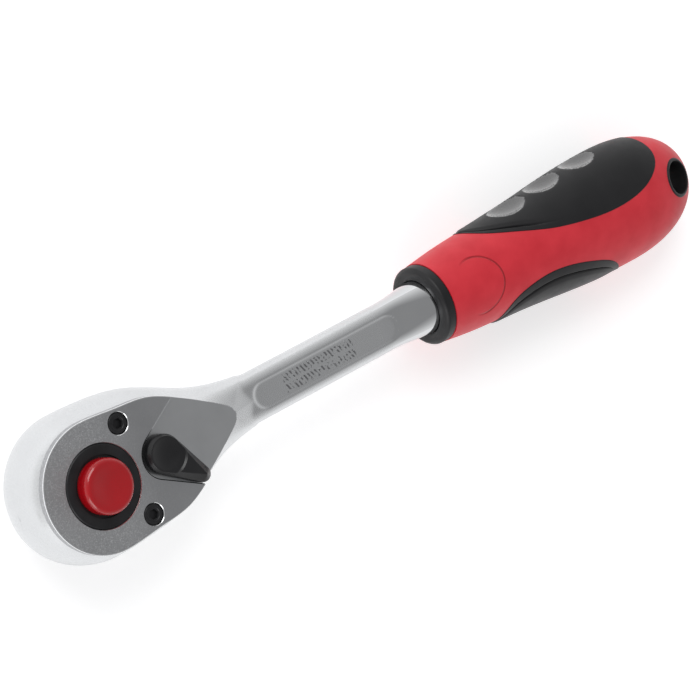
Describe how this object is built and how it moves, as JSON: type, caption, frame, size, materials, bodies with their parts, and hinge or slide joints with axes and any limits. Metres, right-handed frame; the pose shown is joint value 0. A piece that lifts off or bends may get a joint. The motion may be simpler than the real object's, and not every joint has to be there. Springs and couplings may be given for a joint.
{
  "type": "ratchet wrench",
  "caption": "Reversible pear-head ratchet wrench with a quick-release square drive, a tapered reversing lever and a two-material oval handle with a hanging hole.",
  "frame": {"origin": "centre of the drive square's end face", "axes": "+Z out of the lever side, so the drive square points along -Z; +X along the shaft towards the handle"},
  "size_m": [0.1953, 0.0326, 0.0311],
  "materials": {
    "forged_chrome": "satin chrome plate on forged steel",
    "blasted_steel": "fine bead-blasted chrome",
    "black_oxide": "black phosphate",
    "spring_steel": "ground bare steel",
    "seal_rubber": "matt",
    "red_button": "glossy",
    "black_lever": "satin black coating",
    "black_core": "semi-matt moulded",
    "red_shell": "fine satin moulded",
    "grip_rubber": "soft-touch matt"
  },
  "bodies": {
    "handle_and_head": {"ratchet_body": "forged_chrome", "cover_plate": "blasted_steel", "cover_screws": "black_oxide", "thrust_washer": "spring_steel", "drive_seal": "seal_rubber", "front_collar": "black_core", "handle_core": "black_core", "handle_shell": "red_shell", "upper_grip_pad": "grip_rubber", "lower_grip_pad": "grip_rubber", "hang_bush": "black_core"},
    "drive": {"drive_gear": "black_oxide", "release_spring": "spring_steel", "button_clip": "black_oxide"},
    "button": {"release_button": "red_button", "release_plunger": "spring_steel"},
    "ball": {"retaining_ball": "spring_steel"},
    "lever": {"reverse_lever": "black_lever", "selector_shaft": "spring_steel", "detent_pin": "spring_steel", "detent_spring": "spring_steel", "lever_seal": "seal_rubber", "lever_clip": "spring_steel"},
    "pawl": {"pawl": "black_oxide"}
  },
  "joints": [
    {"name": "drive_spin", "type": "hinge", "parent": "handle_and_head", "child": "drive", "pos_m": [0, 0, 0.0155], "axis": [0, 0, 1], "continuous": true},
    {"name": "button_press", "type": "slide", "parent": "drive", "child": "button", "axis": [0, 0, -1], "range_m": [0, 0.0025], "stiffness_N_per_m": 700, "springref_m": -0.002, "deforming": ["release_spring"]},
    {"name": "ball_retract", "type": "slide", "parent": "drive", "child": "ball", "axis": [1, 0, 0], "range_m": [0, 0.00086]},
    {"name": "lever_swing", "type": "hinge", "parent": "handle_and_head", "child": "lever", "pos_m": [0.0158, 0, 0.0255], "axis": [0, 0, 1], "range_deg": [0, 96]},
    {"name": "pawl_rock", "type": "hinge", "parent": "handle_and_head", "child": "pawl", "pos_m": [0.0158, 0, 0.0188], "axis": [0, 0, 1], "range_deg": [-7.21, 0]}
  ],
  "couplings": [
    {"joint": "ball_retract", "follows": "button_press", "ratio": 0.34},
    {"joint": "pawl_rock", "follows": "lever_swing", "ratio": -0.075}
  ]
}
